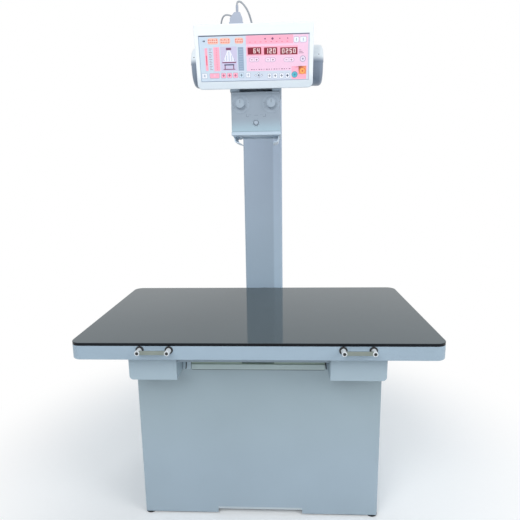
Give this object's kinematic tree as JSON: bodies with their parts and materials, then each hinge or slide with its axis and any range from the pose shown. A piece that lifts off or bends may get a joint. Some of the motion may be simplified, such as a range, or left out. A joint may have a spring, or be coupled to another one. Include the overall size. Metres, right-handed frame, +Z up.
{
  "type": "veterinary x-ray table",
  "caption": "Floating-top x-ray table on a sheet metal cabinet, with a fixed column and a swivelling x-ray head carrying a console and a collimator over the top.",
  "frame": {"origin": "centre of the overall box on the floor", "axes": "+Z up, +X to the user's right along the tabletop, +Y from the handles towards the column"},
  "size_m": [1.2, 1.057, 1.794],
  "materials": {
    "cabinet_paint": "satin powder coat, pale blue grey",
    "frame_paint": "satin powder coat",
    "column_paint": "satin powder coat",
    "steel": "bright ground steel",
    "dark_steel": "dark",
    "black_panel": "high gloss black",
    "black_plastic": "matt",
    "rubber": "matt",
    "head_white": "satin white moulding",
    "head_metal": "painted casting",
    "handle_metal": "brushed",
    "collimator_paint": "satin paint on casting",
    "knob_paint": "satin paint on turned steel",
    "overlay": "printed membrane",
    "display": "dark red",
    "cable_grey": "matt grey jacket",
    "detector": "carbon plate",
    "brass": "machined"
  },
  "bodies": {
    "stand": {"base_cabinet": "cabinet_paint", "cabinet_back_panel": "cabinet_paint", "base_frame": "dark_steel", "levelling_feet": "rubber", "deck_plate": "cabinet_paint", "transverse_rails": "steel", "power_unit": "dark_steel", "mains_inlet": "black_plastic", "receptor_unit": "cabinet_paint", "scatter_grid": "detector", "edge_strips": "rubber", "column_post": "column_paint", "column_cap": "black_plastic", "column_ties": "column_paint", "support_arm": "column_paint"},
    "mains_switch": {"mains_rocker": "black_plastic"},
    "tray": {"tray_pan": "cabinet_paint", "tray_front": "cabinet_paint", "tray_catches": "black_plastic", "flat_detector": "detector"},
    "carriage": {"carriage_frame": "dark_steel", "left_rail_housing": "cabinet_paint", "right_rail_housing": "cabinet_paint", "longitudinal_bearings": "steel", "transverse_bearings": "steel", "magnetic_brakes": "dark_steel"},
    "table": {"table_frame": "frame_paint", "tabletop_panel": "black_panel", "table_beams": "handle_metal", "longitudinal_rails": "steel", "handle_rosettes": "black_plastic", "handle_posts": "frame_paint", "handle_plugs": "black_plastic", "handle_bars": "handle_metal"},
    "head": {"swivel_shaft": "steel", "head_saddles": "head_metal", "tube_housing": "head_metal", "end_caps": "head_white", "collimator_mount": "collimator_paint", "console_shell": "head_white", "console_bezel": "head_white", "control_overlay": "overlay", "display_modules": "display", "cable_connector": "cable_grey", "cable_glands": "black_plastic", "link_cable": "cable_grey", "signal_cable": "cable_grey"},
    "lock_knob": {"swivel_lock_knob": "black_plastic"},
    "collimator": {"collimator_housing": "collimator_paint", "collimator_base": "collimator_paint", "collimator_fittings": "steel", "shutter_guides": "steel"},
    "width_knob": {"width_knob": "knob_paint"},
    "rack_gear": {"rack_gear": "brass"},
    "left_shutter": {"left_shutter": "dark_steel"},
    "right_shutter": {"right_shutter": "dark_steel"},
    "length_knob": {"length_knob": "knob_paint"},
    "front_shutter": {"front_shutter": "dark_steel"},
    "rear_shutter": {"rear_shutter": "dark_steel"},
    "light_button": {"light_button": "head_white"}
  },
  "joints": [
    {"name": "table_cross_slide", "type": "slide", "parent": "stand", "child": "carriage", "axis": [0, 1, 0], "range_m": [-0.1, 0.1]},
    {"name": "table_long_slide", "type": "slide", "parent": "carriage", "child": "table", "axis": [1, 0, 0], "range_m": [-0.2, 0.2]},
    {"name": "tray_slide", "type": "slide", "parent": "stand", "child": "tray", "axis": [0, -1, 0], "range_m": [0, 0.42]},
    {"name": "head_swivel", "type": "hinge", "parent": "stand", "child": "head", "pos_m": [0, -0.0415, 1.619], "axis": [0, 1, 0], "range_deg": [-90, 90]},
    {"name": "swivel_lock_turn", "type": "hinge", "parent": "stand", "child": "lock_knob", "pos_m": [0.06, 0.0015, 1.619], "axis": [1, 0, 0], "range_deg": [0, 270]},
    {"name": "collimator_turn", "type": "hinge", "parent": "head", "child": "collimator", "pos_m": [0, -0.1415, 1.52], "axis": [0, 0, 1], "range_deg": [-90, 90]},
    {"name": "field_width_turn", "type": "hinge", "parent": "collimator", "child": "width_knob", "pos_m": [-0.0525, -0.2345, 1.482], "axis": [0, 1, 0], "range_deg": [-87.3, 0]},
    {"name": "rack_gear_turn", "type": "hinge", "parent": "collimator", "child": "rack_gear", "pos_m": [0, -0.2265, 1.482], "axis": [0, 1, 0], "range_deg": [0, 87.4]},
    {"name": "left_shutter_slide", "type": "slide", "parent": "collimator", "child": "left_shutter", "axis": [1, 0, 0], "range_m": [0, 0.0401]},
    {"name": "right_shutter_slide", "type": "slide", "parent": "collimator", "child": "right_shutter", "axis": [-1, 0, 0], "range_m": [0, 0.0401]},
    {"name": "field_length_turn", "type": "hinge", "parent": "collimator", "child": "length_knob", "pos_m": [0.0525, -0.2345, 1.482], "axis": [0, 1, 0], "range_deg": [0, 350]},
    {"name": "front_shutter_slide", "type": "slide", "parent": "collimator", "child": "front_shutter", "axis": [0, 1, 0], "range_m": [0, 0.0236]},
    {"name": "rear_shutter_slide", "type": "slide", "parent": "collimator", "child": "rear_shutter", "axis": [0, -1, 0], "range_m": [0, 0.0236]},
    {"name": "light_button_press", "type": "slide", "parent": "collimator", "child": "light_button", "axis": [0, 1, 0], "range_m": [0, 0.003], "stiffness_N_per_m": 400, "springref_m": -0.002},
    {"name": "mains_rocker_turn", "type": "hinge", "parent": "stand", "child": "mains_switch", "pos_m": [0.268, 0.1985, 0.13], "axis": [1, 0, 0], "range_deg": [-16, 0]}
  ],
  "couplings": [
    {"joint": "rack_gear_turn", "follows": "field_width_turn", "ratio": -1},
    {"joint": "left_shutter_slide", "follows": "field_width_turn", "m_per_rad": -0.02625},
    {"joint": "right_shutter_slide", "follows": "field_width_turn", "m_per_rad": -0.02625},
    {"joint": "front_shutter_slide", "follows": "field_length_turn", "m_per_rad": 0.003846},
    {"joint": "rear_shutter_slide", "follows": "field_length_turn", "m_per_rad": 0.003846}
  ]
}
